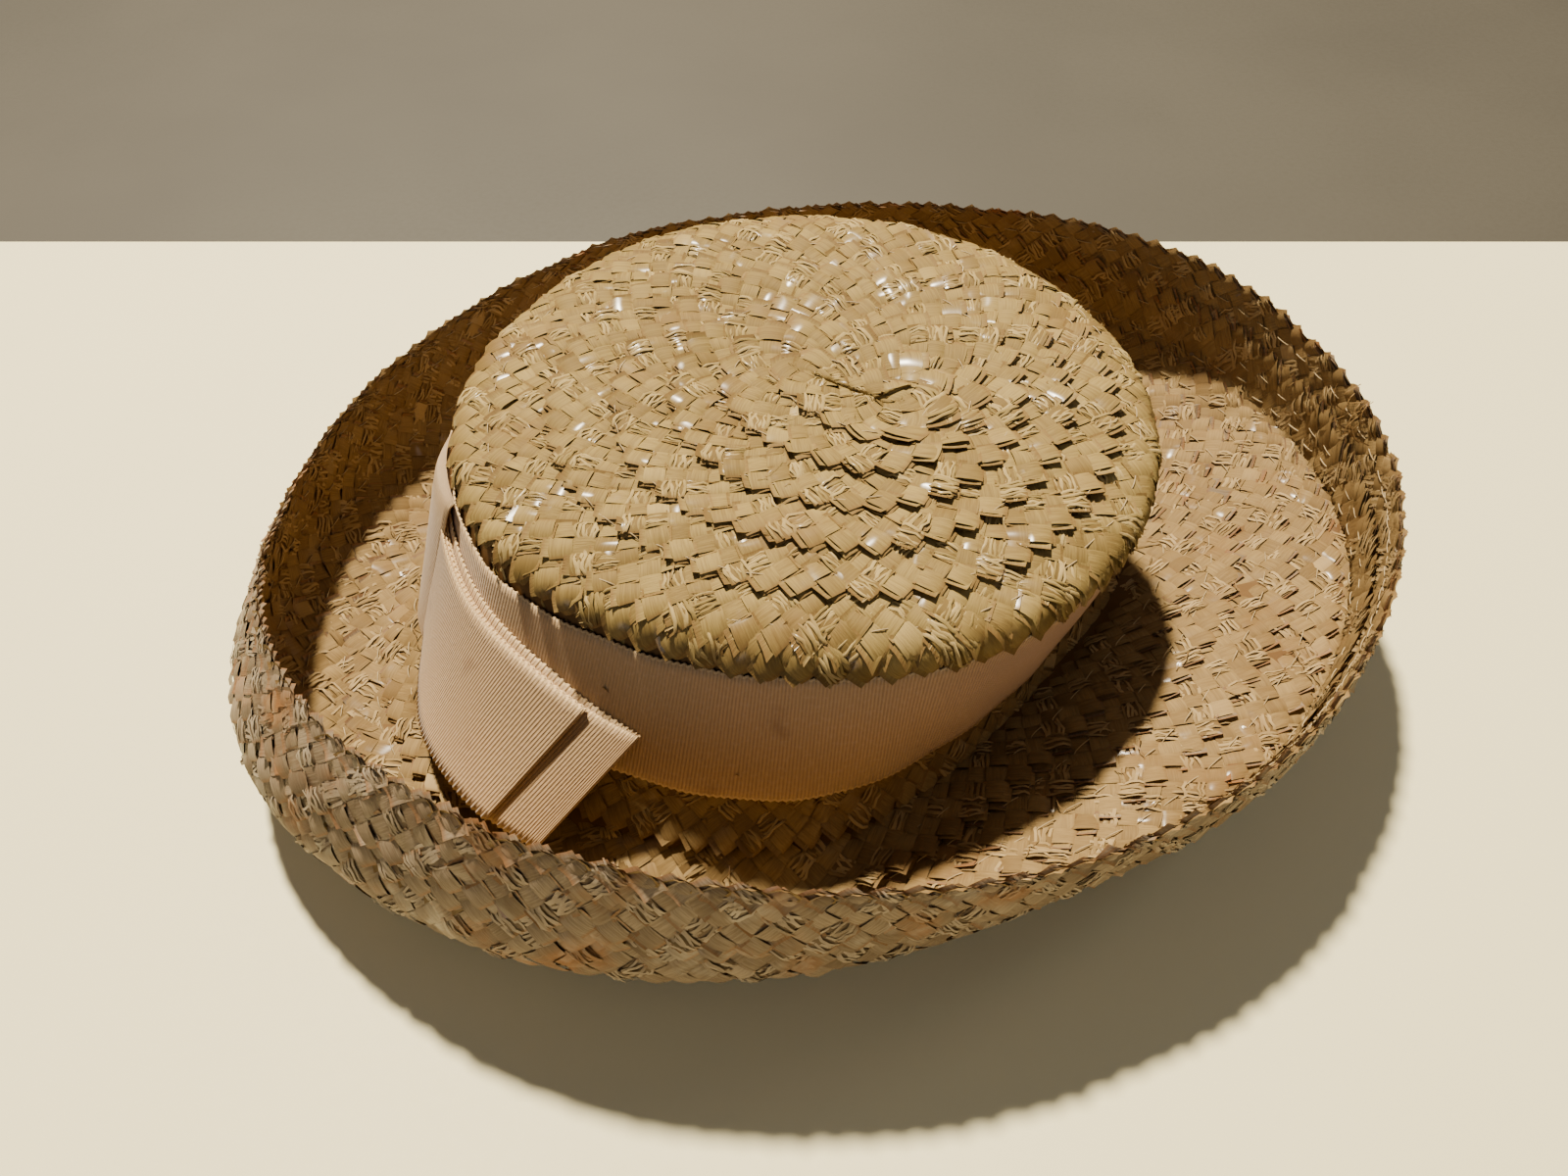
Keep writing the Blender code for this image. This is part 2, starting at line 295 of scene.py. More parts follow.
def brim(angle, coil):
    """The middle of the brim's thickness, coil by coil from the crown's foot."""
    reach, curl, foot_share, rim_share = np.moveaxis(along_rows(BRIM_COILS, coil), -1, 0)
    inner_place = foot(angle) - BROW_CENTRE
    inner = np.hypot(inner_place[..., 0], inner_place[..., 1])
    belly = RIM_RADIUS * plan(BELLY, angle)
    rim = RIM_RADIUS * plan(RIM, angle)
    radius = inner + (belly - inner) * reach + (rim - belly) * curl
    top = RIM_HEIGHT * plan(RIM_LIFT, angle)
    height = UNDER_FOOT * foot_share + top * rim_share
    even = UNDER_FOOT * (1.0 - reach) + top * WIDEST_HEIGHT * reach
    height = height + np.maximum(0.0, even - height) * np.maximum(0.0, plan(EVEN_CLIMB, angle))
    direction = unit(inner_place * (1.0, 1.0, 0.0))
    return BROW_CENTRE + direction * radius[..., None] + upright(height)


def brim_middle(angle, coil):
    """The brim between its two layers of plait, clear of the table."""
    return lifted(brim, angle, coil, BRIM_MIDDLE)


def normal_of(surface, angle, coil):
    """The direction out of the hat's upper side."""
    small = 1e-3
    out = surface(angle, coil + small) - surface(angle, coil - small)
    round_it = surface(angle + small, coil) - surface(angle - small, coil)
    return unit(np.cross(out, round_it))


def lifted(surface, angle, coil, height):
    """Points on a surface, moved off it by height."""
    height = np.broadcast_to(height, np.shape(angle))
    return surface(angle, coil) + normal_of(surface, angle, coil) * height[..., None]


def pitch_at(surface, turned, coil):
    """How wide a coil is here."""
    return np.linalg.norm(surface(turned, coil + 0.55) - surface(turned, coil + 0.45), axis=1) * 10.0


def points_of(mesh):
    flat = np.empty(len(mesh.vertices) * 3)
    mesh.vertices.foreach_get("co", flat)
    return flat.reshape(-1, 3)


def move_points(mesh, points):
    mesh.vertices.foreach_set("co", np.ascontiguousarray(points, np.float32).ravel())
    mesh.update()


def repeated(unit_bmesh, length, count, name):
    """count copies of a unit mesh along X, each the unit's length further on."""
    mesh = bpy.data.meshes.new(name)
    unit_bmesh.to_mesh(mesh)
    unit_bmesh.free()
    row = bpy.data.objects.new(name, mesh)
    bpy.context.scene.collection.objects.link(row)
    array = row.modifiers.new("row", "ARRAY")
    array.count = count
    array.use_relative_offset = False
    array.use_constant_offset = True
    array.constant_offset_displace = (length, 0.0, 0.0)
    made = bpy.data.meshes.new_from_object(row.evaluated_get(bpy.context.evaluated_depsgraph_get()))
    bpy.data.objects.remove(row)
    bpy.data.meshes.remove(mesh)
    made.name = name
    return made


def dressed(name, mesh, finish):
    """A piece of the hat made of this mesh, with its finish."""
    mesh.materials.clear()
    mesh.materials.append(finish)
    mesh.shade_smooth()
    piece = bpy.data.objects.new(name, mesh)
    bpy.context.scene.collection.objects.link(piece)
    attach(piece, "root")
    return piece


def plait_unit(sides, fine):
    """The patches of one repeat of the plait, each what shows of a strand between two crossings, its length
    along X. A row for each: its place along and across, which way its strand climbs, side, kind, a fibre's
    place across its strand, first vertex and number of vertices."""
    bm = bmesh.new()
    bm.loops.layers.uv.new("strand")
    patches = []

    def patch(where, kind, middle, along, across):
        first = len(bm.verts)
        bmesh.ops.create_grid(bm, x_segments=along, y_segments=across, size=0.5, calc_uvs=True)
        patches.append((*where, kind, middle, first, len(bm.verts) - first))

    for column in range(STRANDS):
        for row in range(PLAIT_ROWS):
            place = 2 * column + row % 2
            m, n = (row + place) // 2, (row - place) // 2
            for side in sides:
                rising = (row % 2 == 0) == (side > 0)
                strand = (n if rising else PLAIT_ROWS - 1 - m) % STRANDS
                where = (place, row, 1 if rising else -1, side)
                patch(where, "strand" if strand else "skein", 0.0, 4, 3)
                for fibre in range(0 if strand else FIBRES):
                    patch(where, "fibre", (fibre + 0.5) / FIBRES - 0.5, 4, 2 if fine else 1)
                if row == PLAIT_ROWS - 1 and side > 0:
                    patch(where, "hem", 0.0, 4, 3)
    return bm, patches


def patch_shape(kind, middle, on_edge, fine, a, b, draw):
    """A patch's points along and across its strand, how far they stand out, and its tone. a and b run from -1
    to 1 along and across it, and draw holds its chances."""
    longer = LONGER_AT_EDGE if on_edge or kind == "hem" else 1.0
    long = STRAND * (LONG + LONG_SPREAD * draw[0]) * longer
    wide = STRAND * (WIDE + WIDE_SPREAD * draw[1]) * (1.0 - WAIST * a**4)
    rise = PLY * (STANDS - DIPS * a**4 - ARCHED * b**2)
    tone = 0.5 * draw[5]
    if kind == "fibre":
        wave = np.sin(a * (2.2 + 0.8 * draw[5]) + 3.0 * draw[6]) + 0.35 * np.sin(a * 7.0 + 4.0 * draw[7])
        arched = FIBRE_STANDS - FIBRE_ROUND * b**2 * fine
        rise = rise + PLY * (arched + FIBRE_SPREAD * (draw[7] + np.sin(a * 4.0 + 3.0 * draw[8])))
        b = 2.0 * middle + b / FIBRES * (0.84 + 0.12 * draw[1]) + 0.15 * wave
        tone = 1.4 + 0.45 * draw[5]
    elif kind == "strand":
        rise = rise + STRAND * (TWIST * draw[2] * a + TILT * draw[3] * b)
    elif kind == "hem":
        rise = rise - HEM_DROP - HEM_ARCH * b**2 + 0.5 * HEM_ARCH * draw[2] * b
    else:
        # A skein's base under its fibres gets the deep tone, painted shade in the gaps between the fibres.
        tone = tone - 2.0
    return a * long / 2.0, b * wide / 2.0, rise, tone


def in_front(angle):
    """1 in front of the crown, 0 away from there."""
    apart = (angle - FRONT + math.pi) % math.tau - math.pi
    return np.exp(-((apart / FRONT_SPREAD) ** 2))


def spiral(surface, start, turns, last):
    """The turns of a spiral on a surface and the length along it."""
    phi = np.linspace(0.0, math.tau * turns, int(400 * turns) + 2)
    line = surface(phi, np.clip(start + phi / math.tau, -0.5, last) + OUTER_ROW)
    return phi, np.concatenate(([0.0], np.cumsum(np.linalg.norm(np.diff(line, axis=0), axis=1))))


def plait(
    name, surface, start, turns, last, finish, sides=(1, -1), seed=0,
    edge_lift=EDGE_LIFT, out=0.0, fine=False, rim=math.inf, free_edge=0.0,
):
    """Plait sewn in a spiral on a surface, from coil number start, its coils never past last. Past rim, its
    outer notches are folded short. In front of the crown its first coil stands up by free_edge."""
    chance = np.random.default_rng(seed)
    phi, length = spiral(surface, start, turns, last)
    repeat = STRANDS * NOTCH
    count = max(1, int(round(length[-1] / repeat)))
    bm, patches = plait_unit(sides, fine)
    mesh = repeated(bm, 1.0, count, name)
    local = points_of(mesh).reshape(count, -1, 3)
    nth = np.arange(count)[:, None]
    along, across, height, shade = np.empty((4, *local.shape[:2]))
    for place, row, turn, side, kind, middle, first, size in patches:
        own = slice(first, first + size)
        draw = chance.normal(size=(9, count, 1))
        on_edge = row in (0, PLAIT_ROWS - 1) and side < 0
        a, b = (local[:, own, 0] - nth) * 2.0, local[:, own, 1] * 2.0
        x, y, rise, tone = patch_shape(kind, middle, on_edge, fine, a, b, draw)
        lean = math.pi / 4 * turn + LEAN_SPREAD * draw[4]
        shift = EDGE_IN * (1 if row else -1) if on_edge else HEM_REACH * (kind == "hem")
        along[:, own] = place * NOTCH / 2 + x * np.cos(lean) - y * np.sin(lean)
        across[:, own] = row * NOTCH / 2 + x * np.sin(lean) + y * np.cos(lean) + shift
        height[:, own] = side * rise
        shade[:, own] = tone
    along += nth * repeat
    along, across, height = along.ravel(), across.ravel(), height.ravel()
    turned = np.interp(along * length[-1] / (count * repeat), length, phi)
    coil = np.minimum(start + turned / math.tau, last)
    pitch = np.maximum(pitch_at(surface, turned, np.maximum(coil, NEAR_CENTRE)), NARROWEST_PITCH)
    across += SAG * (1.3 * np.sin(along / (3.1 * NOTCH) + seed) + np.sin(along / (1.27 * NOTCH)))
    curl = EDGE_CURL * np.clip((across - NOTCH) / (1.5 * NOTCH), 0.0, 1.0) ** 2
    lift = height + edge_lift * (across / NOTCH - 1.0) + curl * max(0.0, edge_lift / EDGE_LIFT) + out
    lift += free_edge * in_front(turned) * np.clip(0.5 * across / NOTCH, 0.0, 1.2) ** 2 * (coil < 1.0)
    reach = coil + across / pitch
    reach = np.minimum(reach, rim) + FOLDED_SHORT * np.maximum(0.0, reach - rim)
    placed = lifted(surface, turned, reach, lift)
    x, y, z = placed.T
    z = z + SAG * (np.sin(x * WAVES[0] + seed) + np.sin(y * WAVES[1] + z * WAVES[2]))
    placed[:, 2] = np.where(z < MM, MM * np.exp(z / MM - 1.0), z)
    move_points(mesh, placed)
    tones = mesh.attributes.new("shade", "FLOAT", "POINT").data
    tones.foreach_set("value", shade.astype(np.float32).ravel())
    return dressed(name, mesh, finish)


def strays(name, surface, turns, coils, count, finish, seed, long=6.0, arch=1.2, out=0.0011):
    """Loose fibres that have come out of the plait, long and arched by these many millimetres."""
    chance = np.random.default_rng(seed)
    bm = bmesh.new()
    bmesh.ops.create_grid(bm, x_segments=8, y_segments=1, size=0.5)
    mesh = repeated(bm, 2.0, count, name)
    local = points_of(mesh).reshape(count, -1, 3)
    a, b = (local[:, :, 0] - 2.0 * np.arange(count)[:, None]) * 2.0, local[:, :, 1] * 2.0
    angle = chance.uniform(*turns, (count, 1))
    coil = chance.uniform(*coils, (count, 1))
    heading = chance.uniform(0.0, math.tau, (count, 1))
    draw = chance.normal(size=(4, count, 1))
    reach = long * MM * (0.5 + 0.14 * draw[0])
    bend = 0.35 * draw[1] * (1.0 - a**2) + 0.10 * np.sin(a * 4.0 + 5.0 * draw[2])
    x = a * reach
    y = bend * reach + b * STRAY_WIDTH
    height = out + arch * MM * (0.6 + 0.3 * np.abs(draw[3])) * (1.0 - a**2) * (1.0 + 0.3 * a * draw[2])
    run = x * np.cos(heading) - y * np.sin(heading)
    across = x * np.sin(heading) + y * np.cos(heading)
    angle = angle + run / np.linalg.norm(surface(angle, coil) - BROW_CENTRE, axis=-1)
    coil = coil + across / COIL_PITCH
    move_points(mesh, lifted(surface, angle.ravel(), coil.ravel(), height.ravel()))
    return dressed(name, mesh, finish)


def thread(name, surface, start, turns, last, finish, seed):
    """The sewing thread of a spiral: long stitches that lie on the plait and dip into it at each end."""
    chance = np.random.default_rng(seed)
    phi, length = spiral(surface, start, turns, last)
    count = int(length[-1] / STITCH)
    bm = bmesh.new()
    bmesh.ops.create_cone(bm, cap_ends=False, segments=5, radius1=THREAD, radius2=THREAD, depth=1.0)
    bmesh.ops.rotate(bm, verts=bm.verts, cent=(0, 0, 0), matrix=Matrix.Rotation(math.pi / 2, 3, "Y"))
    ends = [edge for edge in bm.edges if abs(edge.verts[0].co.x - edge.verts[1].co.x) > 0.5]
    bmesh.ops.subdivide_edges(bm, edges=ends, cuts=4)
    mesh = repeated(bm, 2.0, count, name)
    local = points_of(mesh).reshape(count, -1, 3)
    a = (local[:, :, 0] - 2.0 * np.arange(count)[:, None]) * 2.0
    draw = chance.normal(size=(3, count, 1))
    reach = STITCH * (0.40 + 0.03 * draw[0])
    along = (np.arange(count)[:, None] + 0.5) * STITCH + a * reach
    across = STITCH_ROW + local[:, :, 1] + 0.35 * MM * (draw[1] + 0.5 * draw[2] * a)
    lift = 1.0 * MM - 1.5 * MM * a**4 + local[:, :, 2]
    along, across, lift = along.ravel(), across.ravel(), lift.ravel()
    turned = np.interp(along, length, phi)
    coil = np.minimum(start + turned / math.tau, last)
    move_points(mesh, lifted(surface, turned, coil + across / pitch_at(surface, turned, coil), lift))
    return dressed(name, mesh, finish)


def shell(name, surface, coils, finish, height):
    """The thin sheet behind the plait that closes the gaps between its strands."""
    bm = bmesh.new()
    bmesh.ops.create_grid(bm, x_segments=180, y_segments=24, size=0.5)
    mesh = bpy.data.meshes.new(name)
    bm.to_mesh(mesh)
    bm.free()
    flat = points_of(mesh)
    angle = (flat[:, 0] + 0.5) * math.tau
    coil = coils[0] + (flat[:, 1] + 0.5) * (coils[1] - coils[0])
    move_points(mesh, lifted(surface, angle, coil, height))
    bm = bmesh.new()
    bm.from_mesh(mesh)
    bmesh.ops.remove_doubles(bm, verts=bm.verts, dist=1e-6)
    bm.to_mesh(mesh)
    bm.free()
    return dressed(name, mesh, finish)


# Finishes


def add_node(tree, kind, inputs=(), **settings):
    """A shader node with its settings. inputs are pairs of a socket and the value or output that goes in."""
    made = tree.nodes.new("ShaderNode" + kind)
    for name, value in settings.items():
        setattr(made, name, value)
    for socket, value in inputs:
        if isinstance(value, bpy.types.NodeSocket):
            tree.links.new(value, made.inputs[socket])
        else:
            made.inputs[socket].default_value = value
    return made


def maths(tree, operation, *values):
    return add_node(tree, "Math", enumerate(values), operation=operation).outputs[0]


def noise(tree, vector, scale, detail):
    inputs = (("Vector", vector), ("Scale", scale), ("Detail", detail))
    return add_node(tree, "TexNoise", inputs).outputs["Fac"]


def stretched(tree, vector, factors, moved=(0.0, 0.0, 0.0)):
    """A vector times these factors, moved."""
    inputs = ((0, vector), (1, factors), (2, moved))
    return add_node(tree, "VectorMath", inputs, operation="MULTIPLY_ADD").outputs[0]


def band_of(tree, value, low, high, top=1.0):
    """0 below low and top above high, smooth between them."""
    inputs = (("Value", value), ("From Min", low), ("From Max", high), ("To Max", top))
    return add_node(tree, "MapRange", inputs, interpolation_type="SMOOTHSTEP").outputs["Result"]


def mixed(tree, share, a, b):
    """Colour a where share is 0 and b where it is 1."""
    return add_node(tree, "Mix", ((0, share), (6, a), (7, b)), data_type="RGBA").outputs[2]


def colour(red, green, blue):
    return red, green, blue, 1.0


def effect(name, takes, gives):
    """A shader node group with its sockets, and its input and output nodes."""
    tree = bpy.data.node_groups.new(name, "ShaderNodeTree")
    for direction, sockets in (("INPUT", takes), ("OUTPUT", gives)):
        for socket, kind in sockets:
            tree.interface.new_socket(socket, in_out=direction, socket_type="NodeSocket" + kind)
    return tree, tree.nodes.new("NodeGroupInput"), tree.nodes.new("NodeGroupOutput")


def straw_effect():
    """Split straw: streaks along each strand, a tone of its own, painted shade where it dips under the next
    one, and brown stains of age. Wax is where a strand shines."""
    takes = *((name, "Color") for name in ("Cream", "Pale", "Deep", "Brown")), ("Stain", "Float")
    gives = ("Color", "Color"), *((name, "Float") for name in ("Roughness", "Wax", "Height"))
    tree, given, result = effect("split straw", takes, gives)
    place = add_node(tree, "TexCoord").outputs["Object"]
    strand = add_node(tree, "UVMap", uv_map="strand").outputs["UV"]
    tone = add_node(tree, "Attribute", attribute_name="shade").outputs["Fac"]
    own = stretched(tree, place, (90.0, 90.0, 90.0), stretched(tree, strand, (0.9, 13.0, 1.0)))
    streak = noise(tree, own, 1.0, 3.0)
    fine = noise(tree, stretched(tree, own, (1.0, 3.1, 1.0)), 1.6, 2.0)
    streaks = maths(tree, "MULTIPLY_ADD", streak, 0.9, maths(tree, "MULTIPLY", fine, 0.25))
    level = maths(tree, "ADD", maths(tree, "MULTIPLY_ADD", tone, 0.20, 0.02), streaks)
    straw = mixed(tree, band_of(tree, level, 0.25, 1.05), given.outputs["Deep"], given.outputs["Pale"])
    straw = mixed(tree, band_of(tree, tone, 0.9, 1.7, 0.7), straw, given.outputs["Cream"])
    from_middle = maths(tree, "SUBTRACT", add_node(tree, "SeparateXYZ", ((0, strand),)).outputs["X"], 0.5)
    # Painted shade: each strand's ends, where it dips under the next one, are mixed towards brown.
    dip = band_of(tree, maths(tree, "ABSOLUTE", from_middle), 0.33, 0.5, 0.55)
    straw = mixed(tree, dip, straw, given.outputs["Brown"])
    age = noise(tree, place, 55.0, 5.0)
    stained = maths(tree, "MULTIPLY", band_of(tree, age, 0.52, 0.72), given.outputs["Stain"])
    straw = mixed(tree, stained, straw, given.outputs["Brown"])
    links = tree.links
    links.new(straw, result.inputs["Color"])
    links.new(maths(tree, "MULTIPLY_ADD", streak, 0.25, 0.48), result.inputs["Roughness"])
    links.new(band_of(tree, noise(tree, place, 110.0, 1.0), 0.58, 0.66, 0.4), result.inputs["Wax"])
    links.new(maths(tree, "ADD", streak, maths(tree, "MULTIPLY", fine, 0.5)), result.inputs["Height"])
    return tree


split_straw = straw_effect()


def new_finish(name):
    """A material, its nodes and its shader."""
    made = bpy.data.materials.new(name)
    made.use_nodes = True
    return made, made.node_tree, made.node_tree.nodes["Principled BSDF"]


def bumped(tree, shader, strength, distance, height):
    inputs = (("Strength", strength), ("Distance", distance), ("Height", height))
    tree.links.new(add_node(tree, "Bump", inputs).outputs["Normal"], shader.inputs["Normal"])


def straw_finish(name, cream, pale, deep, brown, stain):
    """Split straw in these colours. stain is how much of it has browned with age."""
    made, tree, shader = new_finish(name)
    straw = add_node(tree, "Group", (), node_tree=split_straw)
    given = (("Cream", cream), ("Pale", pale), ("Deep", deep), ("Brown", brown), ("Stain", stain))
    for socket, value in given:
        straw.inputs[socket].default_value = value
    tree.links.new(straw.outputs["Color"], shader.inputs["Base Color"])
    tree.links.new(straw.outputs["Roughness"], shader.inputs["Roughness"])
    tree.links.new(straw.outputs["Wax"], shader.inputs["Coat Weight"])
    bumped(tree, shader, 0.6, 0.0002, straw.outputs["Height"])
    shader.inputs["Coat Roughness"].default_value = 0.22
    shader.inputs["Specular IOR Level"].default_value = 0.16
    shader.inputs["Specular Tint"].default_value = colour(1.0, 0.84, 0.55)
    return made


def matt_finish(name, dark, light, scale, grain):
    """A matt surface with a faint unevenness, such as painted board or cotton."""
    made, tree, shader = new_finish(name)
    place = add_node(tree, "TexCoord").outputs["Object"]
    cloud = noise(tree, place, scale, 4.0)
    tree.links.new(mixed(tree, band_of(tree, cloud, 0.3, 0.7), dark, light), shader.inputs["Base Color"])
    height = noise(tree, place, scale * grain, 3.0)
    bumped(tree, shader, 0.25, 0.0001, height)
    tree.links.new(maths(tree, "MULTIPLY_ADD", height, 0.2, 0.55), shader.inputs["Roughness"])
    return made


def grosgrain_finish():
    """Ribbed ribbon: the ribs lie across it, the picot at its edges is paler, and age has stained it."""
    made, tree, shader = new_finish("faded peach grosgrain")
    place = add_node(tree, "TexCoord").outputs["Object"]
    ribbon_uv = add_node(tree, "UVMap", uv_map="ribbon").outputs["UV"]
    apart = add_node(tree, "SeparateXYZ", ((0, ribbon_uv),))
    from_edge = add_node(tree, "Attribute", attribute_name="edge").outputs["Fac"]
    rib = maths(tree, "SINE", maths(tree, "MULTIPLY", apart.outputs["X"], math.tau * MM / RIB))
    weft = maths(tree, "SINE", maths(tree, "MULTIPLY", apart.outputs["Y"], math.tau * MM / WEFT))
    uneven = noise(tree, ribbon_uv, 0.7, 3.0)
    height = maths(tree, "MULTIPLY_ADD", weft, 0.12, maths(tree, "MULTIPLY_ADD", rib, 0.5, uneven))
    # Painted shade: the cloth is darker in the grooves between the ribs.
    cloth = mixed(tree, band_of(tree, rib, -1.0, 0.6), colour(0.37, 0.220, 0.102), colour(0.52, 0.328, 0.155))
    fade = band_of(tree, noise(tree, place, 22.0, 3.0), 0.35, 0.68, 0.55)
    cloth = mixed(tree, fade, cloth, colour(0.41, 0.282, 0.140))
    cloth = mixed(tree, band_of(tree, uneven, 0.45, 0.75, 0.25), cloth, colour(0.60, 0.42, 0.27))
    spots = band_of(tree, noise(tree, place, 75.0, 4.0), 0.62, 0.74, 0.5)
    cloth = mixed(tree, spots, cloth, colour(0.27, 0.145, 0.065))
    picot = band_of(tree, from_edge, 0.0008, 0.0005)
    cloth = mixed(tree, picot, cloth, colour(0.62, 0.42, 0.20))
    tree.links.new(cloth, shader.inputs["Base Color"])
    bumped(tree, shader, 0.8, 0.00016, height)
    tree.links.new(maths(tree, "MULTIPLY_ADD", uneven, 0.15, 0.62), shader.inputs["Roughness"])
    shader.inputs["Sheen Weight"].default_value = 0.15
    shader.inputs["Specular IOR Level"].default_value = 0.3
    return made


warm_brown = colour(0.17, 0.09, 0.030)
crown_straw = straw_finish(
    "crown straw",
    cream=colour(0.47, 0.343, 0.142),
    pale=colour(0.315, 0.222, 0.072),
    deep=colour(0.155, 0.098, 0.029),
    brown=warm_brown,
    stain=0.35,
)
brim_straw = straw_finish(
    "brim straw",
    cream=colour(0.42, 0.292, 0.135),
    pale=colour(0.283, 0.188, 0.073),
    deep=colour(0.15, 0.090, 0.032),
    brown=warm_brown,
    stain=0.5,
)
weathered_straw = straw_finish(
    "weathered straw",
    cream=colour(0.36, 0.280, 0.185),
    pale=colour(0.280, 0.212, 0.134),
    deep=colour(0.12, 0.080, 0.046),
    brown=colour(0.22, 0.095, 0.030),
    stain=0.9,
)
under_straw = straw_finish(
    "straw in shade",
    cream=warm_brown,
    pale=colour(0.20, 0.115, 0.040),
    deep=colour(0.12, 0.065, 0.022),
    brown=colour(0.09, 0.04, 0.012),
    stain=0.6,
)

# The straw

tip_plait = plait("tip_plait", tip, TIP_START, TIP_TURNS + 0.85, TIP_EDGE, crown_straw, seed=3, fine=True)
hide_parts("straw_crown")
shell("tip_backing", tip, (0.0, TIP_TURNS + 0.1), under_straw, height=-0.0015)
plait("wall_plait", wall_coils, 0.0, 4.0, 2.95, crown_straw, sides=(-1,), seed=5, edge_lift=WALL_EDGE_LIFT)
shell("wall_backing", wall_coils, (0.0, 3.9), under_straw, height=0.0006)
plait("wall_top_plait", wall_coils, 0.35, 1.0, 0.35, crown_straw, sides=(1,), seed=6, edge_lift=0.0)
plait("foot_plait", foot_coil, 0.0, 1.0, 0.0, brim_straw, seed=7, fine=True)
brim_plait = plait(
    "brim_plait", brim_middle, 0.0, BRIM_TURNS, BRIM_TURNS - 1.0, brim_straw, sides=(1,), seed=11,
    edge_lift=BRIM_EDGE_LIFT, out=0.0002, rim=RIM_COIL, free_edge=FREE_EDGE,
)
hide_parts("straw_brim")
plait(
    "brim_outside", brim_middle, 0.0, BRIM_TURNS, BRIM_TURNS - 1.0, weathered_straw, sides=(-1,), seed=12,
    edge_lift=OUTSIDE_EDGE_LIFT, out=-OUTSIDE_EDGE_LIFT, rim=RIM_COIL,
)
shell("brim_backing", brim_middle, (0.0, 7.6), under_straw, height=-0.0001)
rim_plait = plait(
    "rim_plait", brim_middle, BRIM_TURNS - 1.0, 1.0, BRIM_TURNS - 1.0, weathered_straw, seed=13,
    edge_lift=RIM_EDGE_LIFT, out=-0.0012, rim=BRIM_TURNS,
)
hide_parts("rim_braid")

cotton = matt_finish("sewing thread", colour(0.30, 0.21, 0.09), colour(0.40, 0.29, 0.14), 400.0, 4.0)
thread("tip_thread", tip, TIP_START + 0.5, TIP_TURNS - 0.2, TIP_EDGE, cotton, seed=21)
thread("brim_thread", brim_middle, 0.0, BRIM_TURNS, BRIM_TURNS - 1.0, cotton, seed=22)
strays("tip_strays", tip, (0.0, math.tau), (0.6, 6.2), 60, crown_straw, seed=31, long=5.0, arch=0.6)
strays("brim_strays", brim_middle, (0.0, math.tau), (1.0, 7.6), 260, brim_straw, seed=32)
strays("rim_tuft", brim_middle, (0.06, 0.15), (7.3, 8.0), 16, brim_straw, seed=33, long=8.0, arch=3.0)

# The ribbon


def ribbon(name, surface, length, width, picots=(1, 1)):
    """Grosgrain on surface(along, across), both counted from 0 to 1, with a scalloped picot on its edges."""
    columns = int(round(length / PICOT)) * PICOT_STEPS
    bm = bmesh.new()
    bmesh.ops.create_grid(bm, x_segments=columns, y_segments=RIBBON_ROWS, size=0.5)
    mesh = bpy.data.meshes.new(name)
    bm.to_mesh(mesh)
    bm.free()
    flat = points_of(mesh) + (0.5, 0.5, 0.0)
    layer = mesh.uv_layers.new(name="ribbon")
    corner = np.empty(len(mesh.loops), int)
    mesh.loops.foreach_get("vertex_index", corner)
    layer.data.foreach_set("uv", (flat[corner, :2] * (length / MM, width / MM)).astype(np.float32).ravel())
    scallop = 0.5 - 0.5 * np.cos(flat[:, 0] * length / PICOT * math.tau)
    across = flat[:, 1].copy()
    for edge, sign, there in ((0.0, -1, picots[0]), (1.0, 1, picots[1])):
        on_edge = np.abs(flat[:, 1] - edge) < 1e-5
        across[on_edge] += sign * there * scallop[on_edge] * PICOT_DEPTH / width
    move_points(mesh, surface(flat[:, 0], across))
    from_edge = (0.5 - np.abs(flat[:, 1] - 0.5)) * width
    mesh.attributes.new("edge", "FLOAT", "POINT").data.foreach_set("value", from_edge.astype(np.float32))
    piece = dressed(name, mesh, grosgrain)
    solidify = piece.modifiers.new("thickness", "SOLIDIFY")
    solidify.thickness = RIBBON
    solidify.offset = 0.0
    return piece


def band_surface(along, across):
    """Round the crown from the knot on, and up across the band, with a slight ripple."""
    angle = math.radians(KNOT_DIRECTION) + along * math.tau
    low = 1.0 - RIBBON_WIDTH / wall_length(angle)
    high = 1.0 - BAND_DROP * (0.5 + 0.5 * np.cos(angle - BAND_DROP_DIRECTION))
    ripple = 0.25 * MM * np.sin(angle * 9.0) * np.sin(across * 3.0)
    ripple += 0.2 * MM * np.sin(angle * 23.0 + across * 4.0)
    return wall(angle, low + (high - low) * across, BAND_OUT + ripple)


def loop_line(place):
    """The ribbon's upper edge and the direction down across it, at places counted along the rows of LOOP."""
    angle, climb, lean, spread = np.moveaxis(along_rows(LOOP, place), -1, 0)
    angle, spread = np.radians(angle), np.radians(spread)
    down = foot(angle) - brow(angle)
    lean = np.radians(lean) + np.arctan2(np.sum(down * outward(angle), axis=-1), -down[..., 2])
    down = outward(spread) * np.sin(lean)[..., None] - upright(np.cos(lean))
    return wall(angle, climb, BOW_OUT), down


def loop_face(place, across, height):
    """A point on a loop, across it from its lower edge up, and as far off its middle as height."""
    upper, down = loop_line(place)
    small = 1e-2
    before, after = loop_line(place - small)[0], loop_line(place + small)[0]
    facing = unit(np.cross(after - before, -down))
    return upper + down * RIBBON_WIDTH * (1.0 - across)[..., None] + facing * height[..., None]


